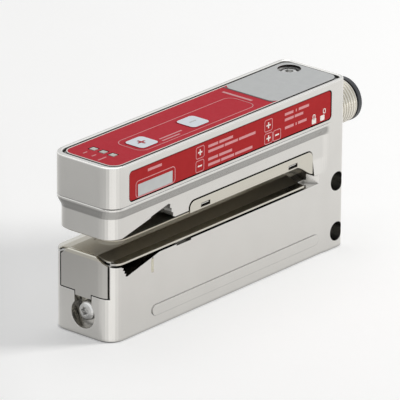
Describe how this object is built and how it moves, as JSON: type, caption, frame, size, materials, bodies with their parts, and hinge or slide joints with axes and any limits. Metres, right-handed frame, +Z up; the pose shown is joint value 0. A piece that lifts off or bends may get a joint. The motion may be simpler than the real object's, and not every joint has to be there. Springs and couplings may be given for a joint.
{
  "type": "fork sensor",
  "caption": "C-shaped ultrasonic fork sensor with a nickel-plated metal housing, sheet guides in the fork mouth, a red and grey control foil, and a round screw connector.",
  "frame": {"origin": "middle of the flat underside of the housing: half of the housing's length behind the lower arm's front, on the mid-plane, at the height of the underside", "axes": "+X from the fork mouth towards the connector, +Z up from the lower arm to the upper arm, +Y across, with the side label on the -Y side"},
  "size_m": [0.1041, 0.0212, 0.0469],
  "materials": {
    "plated_housing": "satin nickel plate over a zinc die casting",
    "guide_steel": "smooth rolled stainless sheet",
    "bright_steel": "bright zinc plate",
    "cover_plastic": "matt moulded lid",
    "control_film": "printed polyester film, red with a grey rear field",
    "label_film": "printed polyester film, red",
    "board_epoxy": "glass-fibre laminate",
    "black_plastic": "moulded black",
    "lamp_body": "moulded lamp body",
    "clear_plastic": "milky light guide",
    "can_alloy": "bare drawn can",
    "dark_rubber": "soft matt rubber",
    "lead_sheath": "cable sheath",
    "plated_brass": "nickel-plated brass",
    "flex_film": "polyimide film",
    "contact_metal": "gold-plated"
  },
  "bodies": {
    "root": {"housing": "plated_housing", "lower_guide_plate": "guide_steel", "upper_guide_plate": "guide_steel", "guide_screw": "bright_steel", "cover_screw": "bright_steel", "top_cover": "cover_plastic", "control_foil": "control_film", "side_label": "label_film", "circuit_board": "board_epoxy", "key_switch_1": "black_plastic", "key_switch_2": "black_plastic", "indicator_led_1": "lamp_body", "indicator_led_2": "lamp_body", "indicator_led_3": "lamp_body", "light_guide_1": "clear_plastic", "light_guide_2": "clear_plastic", "light_guide_3": "clear_plastic", "receiver_transducer": "can_alloy", "emitter_transducer": "can_alloy", "receiver_holder": "dark_rubber", "emitter_holder": "dark_rubber", "emitter_lead": "lead_sheath", "connector_sleeve": "plated_brass", "connector_insert": "black_plastic", "connector_seal": "dark_rubber", "connector_flex": "flex_film", "contact_pin_1": "contact_metal", "contact_pin_2": "contact_metal", "contact_pin_3": "contact_metal", "contact_pin_4": "contact_metal", "contact_pin_5": "contact_metal"}
  },
  "joints": []
}
